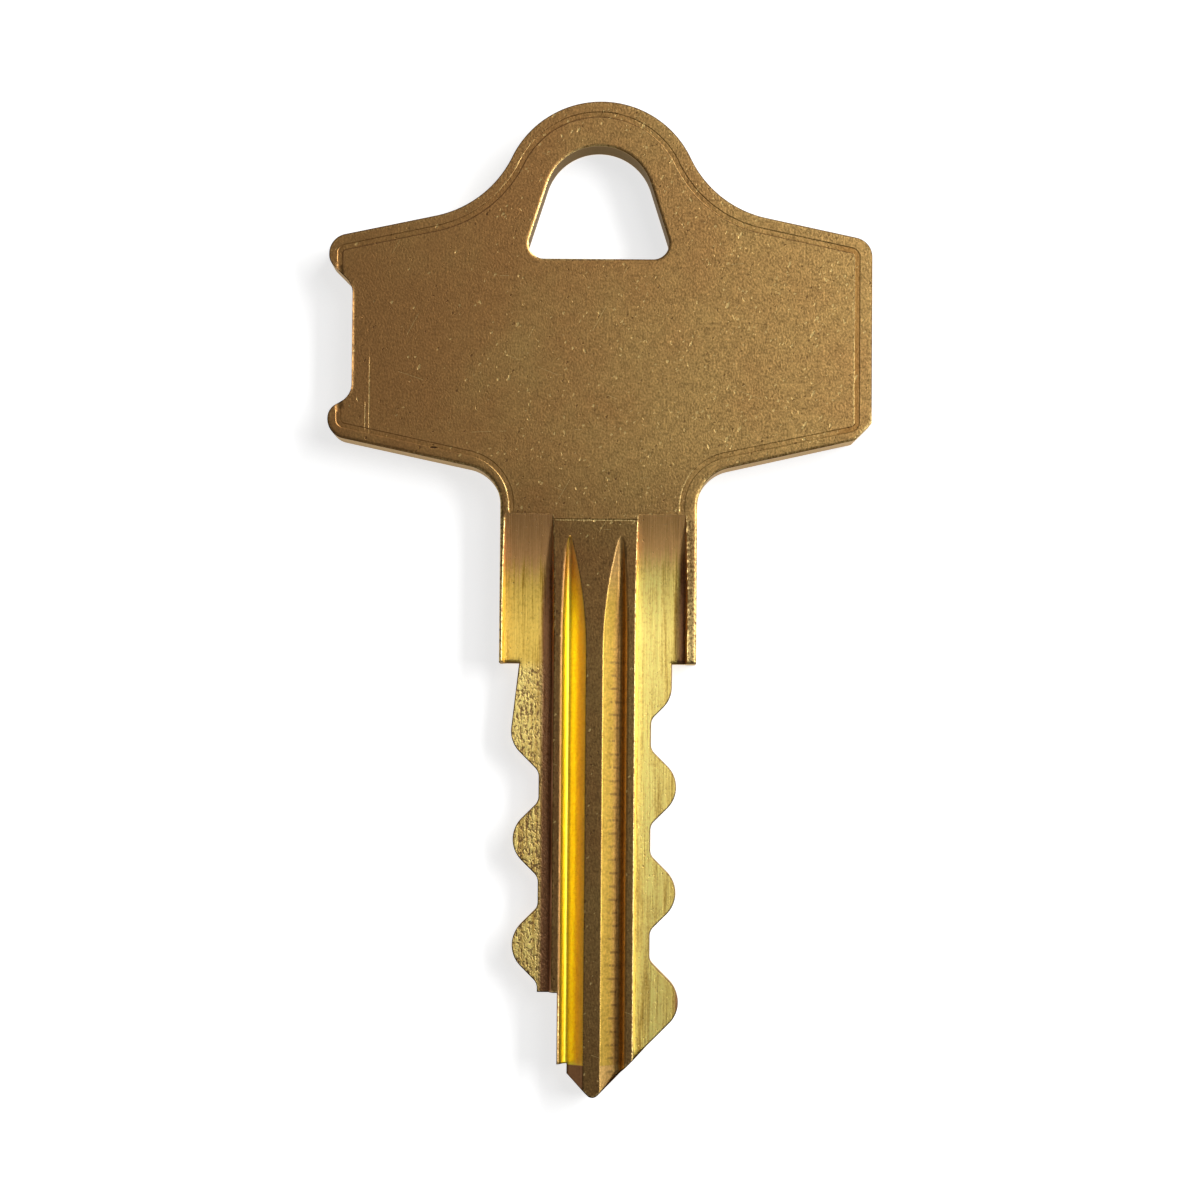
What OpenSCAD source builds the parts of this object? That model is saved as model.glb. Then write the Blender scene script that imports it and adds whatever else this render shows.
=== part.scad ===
// Double-sided key with a winged head: one piece of brass strip, blanked to its outline,
// struck with a border line, milled along both faces of its blade and cut to fit one lock.
// It lies flat: +Z is the front face and +Y points to the ring loop. Until it is moved to the
// middle of its own length, every height along it is measured from the shoulders' stop faces.

/* [Strip] */
// Thickness of the brass strip
strip_t = 2.2; // [2:0.1:3]
// How far the struck, pierced, milled and cut work sits to the left of the blanked head
work_shift = 0.1; // [0:0.05:0.2]

/* [Head] */
// Width across the wings
wing_w = 27.4; // [26:0.1:34]
// Height of the wings' sides, measured between their sharp corners
wing_h = 10; // [9.5:0.1:12]
// Slant of the wings' long edges, which draw together towards the sides, in degrees
wing_slope = 12; // [8:1:15]
// Radius of the wings' corners
wing_corner_r = 1; // [0.9:0.1:1.4]
// Height of the wings' middle above the stop faces
wing_rise = 16.4; // [16:0.1:20]
// Outer radius of the ring loop
loop_r = 5; // [4.8:0.1:5.6]
// Height of the loop's centre above the wings' middle
loop_rise = 7; // [6.5:0.1:8]
// Radius of the hollow sweep between the loop and each wing
sweep_r = 5.5; // [4:0.1:6]
// Width across the neck and the shoulders
shoulder_w = 9.9; // [9.8:0.1:11]
// Radius of the hollow where each wing meets the neck
neck_r = 2; // [1:0.1:2.5]
// Depth of the flat that is filed off the rounded lower right wing corner
filed_depth = 0.27; // [0.2:0.01:0.35]
// Direction in which that flat faces, in degrees below square to the wing's side
filed_facing = 45; // [40:1:50]

/* [Ring hole] */
// Metal left between the hole's arched top and the top of the loop
loop_web = 2.25; // [1.8:0.05:2.4]
// Width across the hole near its flat lower edge
hole_w = 7.1; // [6.6:0.1:8]
// Depth of the hole's flat lower edge below the loop's centre
hole_drop = 3; // [2.6:0.1:3.6]
// Radius of the hole's lower corners
hole_corner_r = 0.8; // [0.4:0.1:1.2]

/* [Side notch] */
// Depth of the notch in the left wing's side
notch_depth = 1.2; // [0.8:0.1:1.4]
// Length of the notch's straight floor
notch_l = 5.6; // [4:0.1:6]
// How far the notch's middle lies below the wings' middle
notch_drop = 0.2; // [0:0.1:0.4]
// Slant of the notch's upper end from square, in degrees
notch_upper_slant = 45; // [35:1:50]
// Slant of the notch's lower end from square, in degrees
notch_lower_slant = 30; // [25:1:45]
// Radius of the two corners in the notch's floor
notch_floor_r = 1; // [0.4:0.1:1.2]
// Radius of the two lobes that the notch leaves on the wing's side
lobe_r = 0.8; // [0.3:0.1:1]

/* [Border line] */
// Distance from the outline to the near side of the struck line
border_inset = 0.5; // [0.4:0.05:0.6]
// Width of the struck line
border_w = 0.3; // [0.2:0.05:0.3]
// Depth of the struck line
border_depth = 0.05; // [0.05:0.01:0.2]
// Height above the stop faces at which the line ends on the neck
border_end = 7.6; // [7.5:0.1:8.5]

/* [Blade] */
// Length of the blade from the stop faces to its tip
blade_l = 21.7; // [20.8:0.1:24]
// Full width of the blade
blade_w = 8.6; // [8.5:0.1:8.9]
// Width of the blade where it meets the stop faces
base_w = 7.7; // [7.4:0.1:8]
// Rounding of the tip
tip_r = 0.35; // [0.2:0.05:0.5]
// Length of the left flank, past which the blade is a narrow nose
left_flank_l = 16.5; // [16.2:0.1:17]
// Distance from the blade's middle to the nose's left side
nose_x = 1.8; // [1.75:0.05:1.95]
// Length of the point past the end of the nose's left side
point_l = 1.65; // [1.5:0.05:1.75]
// Distance from the blade's middle to the left side of the point
point_x = 1.3; // [1.26:0.02:1.4]

/* [Cuts] */
// Distance from the stop faces to the middle of the first right cut
first_cut = 3.55; // [3.4:0.05:3.7]
// Spacing of the cuts along one edge; the left cuts lie half of it further on
cut_pitch = 5.3; // [5.2:0.05:5.35]
// Distance from the blade's middle to the floor of each cut
cut_root = 2.82; // [2.72:0.02:2.94]
// Length of each cut's floor
cut_floor = 1.5; // [1.3:0.05:1.6]
// Radius in the corners of each cut
cut_corner_r = 0.6; // [0.2:0.1:0.6]
// Radius on the crests between the cuts
crest_r = 1.5; // [1.2:0.1:1.6]

/* [Milling] */
// Radius of the milling cutter, which sets the length of every run-out
cutter_r = 28; // [20:1:32]
// Width of the land that the flanks leave along the blade's middle
land_w = 4.1; // [4:0.05:4.3]
// Width across both flanks, from rib to rib
flank_w = 9.3; // [9.1:0.05:9.4]
// Depth of the flanks below the face
flank_depth = 0.6; // [0.4:0.05:0.7]
// Draft of the flanks' side walls from upright, in degrees
flank_draft = 10; // [5:1:15]
// Height above the stop faces at which the flanks begin
flank_top = 7.5; // [7:0.1:7.5]
// Width of the ridge between the two grooves
ridge_w = 0.84; // [0.7:0.02:1]
// Distance from the blade's middle to the outer edge of each groove
groove_outer_x = 1.7; // [1.6:0.02:1.72]
// Slope of each groove's wide side, beside the ridge
groove_slope = 36; // [30:1:40]
// Radius of the bottom of each groove
groove_round_r = 0.3; // [0.2:0.05:0.3]
// Depth of the grooves below the land
groove_depth = 0.6; // [0.4:0.05:0.7]
// Height above the stop faces at which the grooves begin
groove_top = 6.4; // [6:0.1:6.8]

/* [Hidden] */
// Segments of a full circle wherever the shape is drawn as facets
$fn = 160;
// Reach of every cutting tool past the metal that it removes
over = 1;
// The same, where the shape is only rounded at a corner
past_corner = 0.1;
// How far an arc reaches past the sides that it joins, so that it crosses them and leaves no sliver
crossing = 0.0003;
// Cuts along each edge, the last one on the left running out into the nose
cut_count = 3;

half_wing = wing_w / 2;
half_base = base_w / 2;
half_blade = blade_w / 2;
half_floor = cut_floor / 2;
first_left_cut = first_cut + cut_pitch / 2;
loop_y = wing_rise + loop_rise;
// A point whose two sides meet square would reach this far before its tip is rounded
sharp_tip_y = -(blade_l + tip_r * (sqrt(2) - 1));
// Height of the middle of the key's length above the stop faces
middle_y = (loop_y + loop_r - blade_l) / 2;

function unit(v) = v / norm(v);
function bend(before, corner, after) = cross(corner - before, after - corner);
// The other half of a corner list, mirrored, so that the whole list runs anticlockwise
function mirrored(corners) = [
    for (i = [len(corners) - 1:-1:0]) [[-corners[i][0][0], corners[i][0][1]], corners[i][1]]
];

// What lies between a sharp corner and the arc of radius r that rounds it, drawn a little past
// the corner so that it shares no side with the outline
module corner_piece(before, corner, after, r) {
    to_before = unit(before - corner);
    to_after = unit(after - corner);
    inward = unit(to_before + to_after);
    half_angle = acos(to_before * to_after) / 2;
    reach = r / tan(half_angle);
    centre = corner + inward * r / sin(half_angle);
    difference() {
        polygon([
            corner - inward * past_corner,
            corner + to_before * reach,
            centre,
            corner + to_after * reach
        ]);
        translate(centre) circle(r + crossing);
    }
}

// A polygon given anticlockwise as [corner, radius] pairs; a radius of 0 leaves a corner sharp
module rounded_polygon(corners) {
    count = len(corners);
    points = [for (c = corners) c[0]];
    function side(i) = bend(points[(i + count - 1) % count], points[i], points[(i + 1) % count]);
    module piece(i) {
        corner_piece(points[(i + count - 1) % count], points[i], points[(i + 1) % count], corners[i][1]);
    }
    difference() {
        union() {
            polygon(points);
            for (i = [0:count - 1]) if (corners[i][1] > 0 && side(i) < 0) piece(i);
        }
        for (i = [0:count - 1]) if (corners[i][1] > 0 && side(i) > 0) piece(i);
    }
}

// Upper right corner of the wings, drawn in by an inset all round
function wing_corner(inset) = [
    half_wing - inset,
    wing_rise + wing_h / 2 - inset * (1 - sin(wing_slope)) / cos(wing_slope)
];

// The two wings and the neck down to a given height, drawn in by an inset all round
module wings_and_neck(inset, bottom) {
    corner = wing_corner(inset);
    half_h = corner[1] - wing_rise;
    neck_x = shoulder_w / 2 - inset;
    right = [
        [[neck_x, bottom], 0],
        [[neck_x, wing_rise - half_h - (corner[0] - neck_x) * tan(wing_slope)], neck_r + inset],
        [[corner[0], wing_rise - half_h], wing_corner_r - inset],
        [corner, wing_corner_r - inset]
    ];
    peak = [[0, corner[1] + corner[0] * tan(wing_slope)], 0];
    rounded_polygon(concat(right, [peak], mirrored(right)));
}

// The metal that fills the hollow sweep between the loop and the right wing
module sweep(inset) {
    r = sweep_r + inset;
    ring_r = loop_r - inset;
    loop_centre = [0, loop_y];
    outward = [cos(wing_slope), -sin(wing_slope)];
    upward = [sin(wing_slope), cos(wing_slope)];
    // The arc's centre lies r above the wing's edge and ring_r + r from the loop's centre
    level = wing_corner(inset) + r * upward - loop_centre;
    run = level * outward;
    travel = run - sqrt(run * run - level * level + pow(ring_r + r, 2));
    centre = loop_centre + level - travel * outward;
    on_wing = centre - r * upward;
    difference() {
        polygon([loop_centre, [0, wing_rise], on_wing, centre]);
        translate(centre) circle(r + crossing);
    }
}

// Outline of the head and neck down to a given height, drawn in by an inset all round
module head_outline(inset = 0, bottom = 0) {
    wings_and_neck(inset, bottom);
    translate([0, loop_y]) circle(loop_r - inset);
    sweep(inset);
    mirror([1, 0]) sweep(inset);
}

// The notch in the left wing's side, with the rounding of the lobe above and below it
module notch() {
    floor_x = -half_wing + notch_depth;
    middle = wing_rise - notch_drop;
    upper = middle + notch_l / 2;
    lower = middle - notch_l / 2;
    upper_mouth = upper + notch_depth * tan(notch_upper_slant);
    lower_mouth = lower - notch_depth * tan(notch_lower_slant);
    rounded_polygon([
        [[-half_wing - over, lower_mouth], 0],
        [[-half_wing, lower_mouth], 0],
        [[floor_x, lower], notch_floor_r],
        [[floor_x, upper], notch_floor_r],
        [[-half_wing, upper_mouth], 0],
        [[-half_wing - over, upper_mouth], 0]
    ]);
    above = [-half_wing, wing_rise + wing_h / 2];
    below = [-half_wing, wing_rise - wing_h / 2];
    corner_piece(above, [-half_wing, upper_mouth], [floor_x, upper], lobe_r);
    corner_piece([floor_x, lower], [-half_wing, lower_mouth], below, lobe_r);
}

// What is filed off the lower right wing corner to leave it flat
module filed_corner() {
    // Centre of the arc that rounds the upper corner, which the lower corner mirrors
    centre = wing_corner(wing_corner_r);
    side = 2 * wing_corner_r;
    translate([centre[0], 2 * wing_rise - centre[1]])
        rotate(-filed_facing)
        translate([wing_corner_r - filed_depth, -side / 2])
        square(side);
}

// The hole for the key ring: an arch about the loop's centre over a flat lower edge
module ring_hole() {
    arch_r = loop_r - loop_web;
    corner = [hole_w / 2 - hole_corner_r, -hole_drop + hole_corner_r];
    // Direction square to the straight side, which touches both the arch and the corner's arc
    facing = atan2(corner[1], corner[0]) + acos((arch_r - hole_corner_r) / norm(corner));
    square_to_side = [cos(facing), sin(facing)];
    right = [
        [[corner[0], -hole_drop], 0],
        [corner, 0],
        [corner + hole_corner_r * square_to_side, 0],
        [arch_r * square_to_side, 0]
    ];
    translate([0, loop_y]) {
        circle(arch_r + crossing);
        polygon([for (c = concat(right, mirrored(right))) c[0]]);
        for (sign = [-1, 1]) translate([sign * corner[0], corner[1]]) circle(hole_corner_r + crossing);
    }
}

// The two floor corners of each cut and the crests between them, from the shoulders down
function cut_corners(first) = [
    for (i = [0:cut_count - 1], step = i > 0 ? [0, 1, 2] : [1, 2])
        let (y = -first - i * cut_pitch)
            step == 0 ? [[cut_root + (cut_pitch - cut_floor) / 2, y + cut_pitch / 2], crest_r]
            : [[cut_root, step == 1 ? y + half_floor : y - half_floor], cut_corner_r]
];

// Outline of the cut blade, anticlockwise from its right edge
module blade_outline() {
    left = cut_corners(first_left_cut);
    right = cut_corners(first_cut);
    // The slope out of the last right cut and the right side of the point meet here
    last = right[len(right) - 1][0];
    last_crest_x = (last[0] + last[1] - sharp_tip_y) / 2;
    nose_end_y = -(blade_l - point_l);
    intersection() {
        rounded_polygon(concat(
            [
                [[0, sharp_tip_y], tip_r],
                [[last_crest_x, sharp_tip_y + last_crest_x], crest_r]
            ],
            [for (i = [len(right) - 1:-1:0]) right[i]],
            [
                [[half_base, half_floor - first_cut + half_base - cut_root], crest_r],
                [[half_base, over], 0],
                [[-half_base, over], 0],
                [[-half_base, 0], 0],
                [[-half_blade, half_floor - first_left_cut + half_blade - cut_root], crest_r]
            ],
            [for (i = [0:len(left) - 2]) [[-left[i][0][0], left[i][0][1]], left[i][1]]],
            [
                [[-cut_root, -left_flank_l], 0],
                [[-nose_x, -left_flank_l], 0],
                [[-nose_x, nose_end_y], 0],
                [[-point_x, nose_end_y], 0],
                [[-point_x, sharp_tip_y + point_x], 0]
            ]
        ));
        translate([-half_blade, sharp_tip_y - over]) square([blade_w, 2 * over - sharp_tip_y]);
    }
}

// The blanked strip, pierced for the ring and cut along both edges of its blade
module cut_blank() {
    linear_extrude(strip_t) difference() {
        union() {
            head_outline();
            translate([-work_shift, 0]) blade_outline();
        }
        notch();
        filed_corner();
        translate([-work_shift, 0]) ring_hole();
    }
}

// The thin line that is struck round the face of the head
module border_line() {
    translate([0, 0, strip_t - border_depth]) linear_extrude(border_depth + over) difference() {
        head_outline(border_inset, border_end);
        head_outline(border_inset + border_w, border_end - over);
    }
}

// One pass of a milling cutter along the blade, up to where it runs out of the metal at a given
// height. The section is a list of [sideways, depth below the face], depth its greatest depth.
module milled(depth, run_out_y) {
    // The cutter's axis stands over this height, past which the cutter leaves the metal
    lift_y = run_out_y - sqrt(pow(cutter_r, 2) - pow(cutter_r - depth, 2));
    swing = acos(1 - (depth + over) / cutter_r);
    translate([0, lift_y, 0]) {
        translate([0, 0, strip_t])
            rotate([90, 0, 0])
            linear_extrude(lift_y - sharp_tip_y + over)
            mirror([0, 1])
            children();
        translate([0, 0, strip_t - depth + cutter_r])
            rotate([0, 90, 0])
            rotate_extrude(angle = swing)
            translate([cutter_r - depth, 0])
            mirror([1, -1])
            children();
    }
}

// The flank beside the land on the right
module flank() {
    lean = tan(flank_draft);
    inner = land_w / 2;
    outer = flank_w / 2;
    milled(flank_depth, flank_top)
        polygon([
            [inner - over * lean, -over],
            [inner + flank_depth * lean, flank_depth],
            [outer - flank_depth * lean, flank_depth],
            [outer + over * lean, -over]
        ]);
}

// The groove in the right half of the land. Its bottom is an arc that touches the wide side, and
// its steep side goes from the outer edge to where it touches the same arc.
module groove() {
    ridge_x = ridge_w / 2;
    arc_y = groove_depth - groove_round_r;
    arc_x = ridge_x + (groove_round_r + arc_y * cos(groove_slope)) / sin(groove_slope);
    rim = [groove_outer_x - arc_x, -arc_y];
    turn = atan2(rim[1], rim[0]) + acos(groove_round_r / norm(rim));
    wide = [arc_x - groove_round_r * sin(groove_slope), arc_y + groove_round_r * cos(groove_slope)];
    steep = [arc_x + groove_round_r * cos(turn), arc_y + groove_round_r * sin(turn)];
    lean = (groove_outer_x - steep[0]) / steep[1];
    milled(groove_depth, groove_top) {
        polygon([
            [ridge_x - over / tan(groove_slope), -over],
            wide,
            steep,
            [groove_outer_x + over * lean, -over]
        ]);
        translate([arc_x, arc_y]) circle(groove_round_r + crossing);
    }
}

// Everything that is milled and struck into the front face
module worked_face() {
    for (side = [0, 1]) mirror([side, 0, 0]) {
        flank();
        groove();
    }
    border_line();
}

// Turns what is made for the front face over the blade's middle line to the back face
module turned_over() {
    translate([0, 0, strip_t]) rotate([0, 180, 0]) children();
}

// The whole key
module key() {
    color("darkgoldenrod") translate([0, -middle_y, 0]) difference() {
        cut_blank();
        translate([-work_shift, 0, 0]) {
            worked_face();
            turned_over() worked_face();
        }
    }
}

key();
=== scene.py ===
import math

import bpy
import numpy as np
from mathutils import Matrix, Vector
from mathutils.geometry import delaunay_2d_cdt


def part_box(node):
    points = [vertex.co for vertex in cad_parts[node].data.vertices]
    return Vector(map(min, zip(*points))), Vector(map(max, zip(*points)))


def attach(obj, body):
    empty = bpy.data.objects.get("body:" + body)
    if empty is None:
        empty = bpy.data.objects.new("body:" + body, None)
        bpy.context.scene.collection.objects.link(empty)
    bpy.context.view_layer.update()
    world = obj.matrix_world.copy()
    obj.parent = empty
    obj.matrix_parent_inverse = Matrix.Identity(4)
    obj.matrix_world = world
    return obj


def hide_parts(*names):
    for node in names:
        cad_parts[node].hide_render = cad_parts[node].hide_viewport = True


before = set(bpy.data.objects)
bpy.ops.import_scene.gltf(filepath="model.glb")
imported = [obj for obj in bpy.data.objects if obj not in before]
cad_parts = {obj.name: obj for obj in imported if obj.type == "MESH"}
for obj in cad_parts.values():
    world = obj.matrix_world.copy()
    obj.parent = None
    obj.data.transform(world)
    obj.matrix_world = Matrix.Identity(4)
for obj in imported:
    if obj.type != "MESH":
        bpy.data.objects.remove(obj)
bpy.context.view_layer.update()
mm = 0.001
keyLow, keyHigh = (np.array(corner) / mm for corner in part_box("key"))
thickness = float(keyHigh[2])
print("frame loaded, key", (keyHigh - keyLow).round(2), "mm")


# Everything on the key is worked out in millimetres, with heights along it from the stop faces.

head = {
    "halfWidth": keyHigh[0],  # of the wings
    "wingHeight": 10.0,  # between the sharp corners of a wing's side
    "wingSlope": math.radians(12),
    "wingCorner": 1.0,
    "wingRise": 16.4,  # middle of the wings above the stop faces
    "loopRadius": 5.0,
    "loopRise": 7.0,  # centre of the loop above the middle of the wings
    "sweepRadius": 5.5,  # hollow between the loop and a wing
    "neckHalf": 4.95,
    "neckCorner": 2.0,
    "filedDepth": 0.27,  # flat on the lower right corner
    "filedFacing": math.radians(-45),
}
ringHole = {
    "archRadius": 2.75,
    "halfWidth": 3.55,  # at the flat lower edge
    "drop": 3.0,  # of that edge below the loop's centre
    "corner": 0.8,
}
sideNotch = {
    "depth": 1.2,
    "length": 5.6,
    "drop": 0.2,  # of its middle below the middle of the wings
    "upperSlant": math.radians(45),
    "lowerSlant": math.radians(30),
    "floorCorner": 1.0,
    "lobe": 0.8,
}
blade = {
    "length": 21.7,  # from the stop faces to the tip
    "baseHalf": 3.85,
    "half": 4.3,
    "tipRadius": 0.35,
    "leftFlank": 16.5,  # past this the blade is a narrow nose
    "noseX": 1.8,
    "pointLength": 1.65,
    "pointX": 1.3,
    "firstCut": 3.55,
    "cutPitch": 5.3,
    "cutRoot": 2.82,
    "cutFloor": 1.5,
    "cutCorner": 0.6,
    "crest": 1.5,
    "cuts": 3,
    "shift": -0.1,  # of the hole, the border line and the blade from the head
}
stopY = float(keyLow[1]) + blade["length"]


def unit(v):
    return v / np.linalg.norm(v, axis=-1, keepdims=True)


def ramp(value, start, end):
    # 0 at the start and 1 at the end, in a straight line between them.
    return np.clip((value - start) / (end - start), 0, 1)


def arc(centre, radius, start, end, spacing=0.08):
    # Points on a circle, stepped evenly by angle from start to end.
    count = max(4, round(abs(end - start) * radius / spacing))
    angle = np.linspace(start, end, count + 1)
    return centre + radius * np.stack([np.cos(angle), np.sin(angle)], axis=1)


def roundedPath(corners):
    # Goes from the first corner to the last. At each corner between them an arc of its radius
    # touches both sides, with its centre on the line that halves the corner.
    path = [np.array(corners[0][:2])[None]]
    for before, (x, y, radius), after in zip(corners, corners[1:], corners[2:]):
        here = np.array([x, y])
        if radius == 0:
            path.append(here[None])
            continue
        back, on = unit(np.array(before[:2]) - here), unit(np.array(after[:2]) - here)
        half = math.acos(back @ on) / 2
        centre = here + unit(back + on) * radius / math.sin(half)
        start = here + back * radius / math.tan(half) - centre
        turn = (math.pi - 2 * half) * np.sign(back[1] * on[0] - back[0] * on[1])
        angle = math.atan2(start[1], start[0])
        path.append(arc(centre, radius, angle, angle + turn))
    path.append(np.array(corners[-1][:2])[None])
    return np.concatenate(path)


def wingCorner():
    return np.array([head["halfWidth"], head["wingRise"] + head["wingHeight"] / 2])


def loopAndSweeps():
    # From the right wing over the loop to the left wing. The hollow's arc touches the wing's edge
    # and the loop, so its centre is one radius off the edge and both radii off the loop's centre.
    slope, radius, loopRadius = head["wingSlope"], head["sweepRadius"], head["loopRadius"]
    loop = np.array([0, head["wingRise"] + head["loopRise"]])
    outward = np.array([math.cos(slope), -math.sin(slope)])
    upward = np.array([math.sin(slope), math.cos(slope)])
    level = wingCorner() + radius * upward - loop
    run = level @ outward
    travel = run - math.sqrt(run**2 - level @ level + (loopRadius + radius) ** 2)
    centre = loop + level - travel * outward
    towardsLoop = math.atan2(*(loop - centre)[::-1])
    sweep = arc(centre, radius, 1.5 * math.pi - slope, towardsLoop + 2 * math.pi)
    fromLoop = towardsLoop + math.pi
    crown = arc(loop, loopRadius, fromLoop, math.pi - fromLoop)
    mirrored = sweep[::-1] * [-1, 1]
    return np.concatenate([sweep, crown[1:-1], mirrored])


def wingCorners():
    # Right neck and right wing, from the stop face up.
    top = wingCorner()
    bottom = top - [0, head["wingHeight"]]
    neckY = bottom[1] - (top[0] - head["neckHalf"]) * math.tan(head["wingSlope"])
    corner = head["wingCorner"]
    return [
        (head["neckHalf"], 0, 0),
        (head["neckHalf"], neckY, head["neckCorner"]),
        (*bottom, corner),
        (*top, corner),
    ]


def notchCorners():
    # The left wing's side, from its upper corner down past both lobes and the notch.
    side = -head["halfWidth"]
    floor = side + sideNotch["depth"]
    middle = head["wingRise"] - sideNotch["drop"]
    upper, lower = middle + sideNotch["length"] / 2, middle - sideNotch["length"] / 2
    upperMouth = upper + sideNotch["depth"] * math.tan(sideNotch["upperSlant"])
    lowerMouth = lower - sideNotch["depth"] * math.tan(sideNotch["lowerSlant"])
    return [
        (side, upperMouth, sideNotch["lobe"]),
        (floor, upper, sideNotch["floorCorner"]),
        (floor, lower, sideNotch["floorCorner"]),
        (side, lowerMouth, sideNotch["lobe"]),
    ]


def bladeCorners():
    # The blade's corners from the left stop face round the tip to the right one.
    pitch, root, floor = blade["cutPitch"], blade["cutRoot"], blade["cutFloor"] / 2
    sharpTip = -blade["length"] - blade["tipRadius"] * (math.sqrt(2) - 1)
    noseEnd = blade["pointLength"] - blade["length"]
    firstLeft = blade["firstCut"] + pitch / 2

    def cuts(first):
        corners = []
        for i in range(blade["cuts"]):
            y = -first - i * pitch
            if i:
                corners.append((root + pitch / 2 - floor, y + pitch / 2, blade["crest"]))
            corners.append((root, y + floor, blade["cutCorner"]))
            corners.append((root, y - floor, blade["cutCorner"]))
        return corners

    right, left = cuts(blade["firstCut"]), cuts(firstLeft)[:-1]
    lastCrest = (right[-1][0] + right[-1][1] - sharpTip) / 2
    corners = [
        (-blade["baseHalf"], 0, 0),
        (-blade["half"], floor - firstLeft + blade["half"] - root, blade["crest"]),
        *[(-x, y, r) for x, y, r in left],
        (-root, -blade["leftFlank"], 0),
        (-blade["noseX"], -blade["leftFlank"], 0),
        (-blade["noseX"], noseEnd, 0),
        (-blade["pointX"], noseEnd, 0),
        (-blade["pointX"], sharpTip + blade["pointX"], 0),
        (0, sharpTip, blade["tipRadius"]),
        (lastCrest, sharpTip + lastCrest, blade["crest"]),
        *right[::-1],
        (blade["baseHalf"], floor - blade["firstCut"] + blade["baseHalf"] - root, blade["crest"]),
        (blade["baseHalf"], 0, 0),
    ]
    return [(x + blade["shift"], y, r) for x, y, r in corners]


def filed(path):
    # Points of the lower right corner that lie past the filed flat are moved square onto it.
    x, y, radius = wingCorners()[2]
    slope = head["wingSlope"]
    centre = np.array([x - radius, y + radius * (1 - math.sin(slope)) / math.cos(slope)])
    facing = np.array([math.cos(head["filedFacing"]), math.sin(head["filedFacing"])])
    past = (path - centre) @ facing - (radius - head["filedDepth"])
    near = np.linalg.norm(path - centre, axis=1) < 2 * radius
    return path - np.where(near & (past > 0), past, 0)[:, None] * facing


def headOutline(finished):
    # The head from the right stop face round to the left one, with or without the notch and the
    # filed flat that it got after it was blanked.
    arch = loopAndSweeps()
    right = wingCorners()
    left = [(-x, y, r) for x, y, r in right[::-1]]
    if finished:
        left[1:1] = notchCorners()
    side = roundedPath(right + [(*arch[0], 0)])[:-1]
    return np.concatenate([
        filed(side) if finished else side,
        arch,
        roundedPath([(*arch[-1], 0)] + left)[1:],
    ])


def holeOutline():
    # The ring hole, clockwise: an arch and two rounded corners, joined by the lines that touch them.
    radius, corner = ringHole["archRadius"], ringHole["corner"]
    centre = np.array([ringHole["halfWidth"] - corner, corner - ringHole["drop"]])
    facing = math.atan2(centre[1], centre[0]) + math.acos((radius - corner) / np.linalg.norm(centre))
    bottomRight = arc(centre, corner, -math.pi / 2, facing)
    crown = arc(np.zeros(2), radius, facing, math.pi - facing)
    loop = np.concatenate([bottomRight, crown, bottomRight[::-1] * [-1, 1]])[::-1]
    return loop + [blade["shift"], head["wingRise"] + head["loopRise"]]


def subdivided(loop, spacing):
    # The closed loop with every side cut into equal parts no longer than the spacing.
    step = np.roll(loop, -1, axis=0) - loop
    parts = np.maximum(np.ceil(np.linalg.norm(step, axis=1) / spacing), 1).astype(int)
    first = np.repeat(np.cumsum(parts) - parts, parts)
    share = (np.arange(parts.sum()) - first) / np.repeat(parts, parts)
    return np.repeat(loop, parts, axis=0) + share[:, None] * np.repeat(step, parts, axis=0)


def inwards(loop):
    # Direction square to the loop at each of its points, to the left of its travel.
    along = np.roll(loop, -1, axis=0) - np.roll(loop, 1, axis=0)
    return unit(np.stack([-along[:, 1], along[:, 0]], axis=1))


def inParts(work, points):
    # Does the work on a few thousand points at a time, which saves memory.
    return np.concatenate([work(part) for part in np.array_split(points, len(points) // 4000 + 1)])


def distance(points, *loops):
    # Distance from each point to the nearest side of the loops: the point's foot on a side's
    # line is held between the side's ends.
    start = np.concatenate(loops)
    side = np.concatenate([np.roll(loop, -1, axis=0) - loop for loop in loops])
    start, side = start[(side**2).sum(axis=1) > 0], side[(side**2).sum(axis=1) > 0]

    def nearest(part):
        off = part[:, None] - start
        share = np.clip((off * side).sum(axis=2) / (side**2).sum(axis=1), 0, 1)
        return np.sqrt(((off - share[..., None] * side) ** 2).sum(axis=2).min(axis=1))

    return inParts(nearest, points)


def inside(points, loop):
    # True where a ray to the right crosses the loop an odd number of times.
    x1, y1 = loop.T
    x2, y2 = np.roll(loop, -1, axis=0).T
    run = np.where(y1 == y2, 1, y2 - y1)

    def odd(part):
        x, y = part[:, :1], part[:, 1:]
        crossed = ((y1 > y) != (y2 > y)) & (x < x1 + (y - y1) * (x2 - x1) / run)
        return crossed.sum(axis=1) % 2 == 1

    return inParts(odd, points)


outline = np.concatenate([headOutline(True), roundedPath(bladeCorners())])
blankedHead = headOutline(False) + [blade["shift"], 0]
hole = holeOutline()
print("outline", len(outline), "points, hole", len(hole))


# What is milled into each face of the blade, what is struck round its head, and how the edges wear

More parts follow.
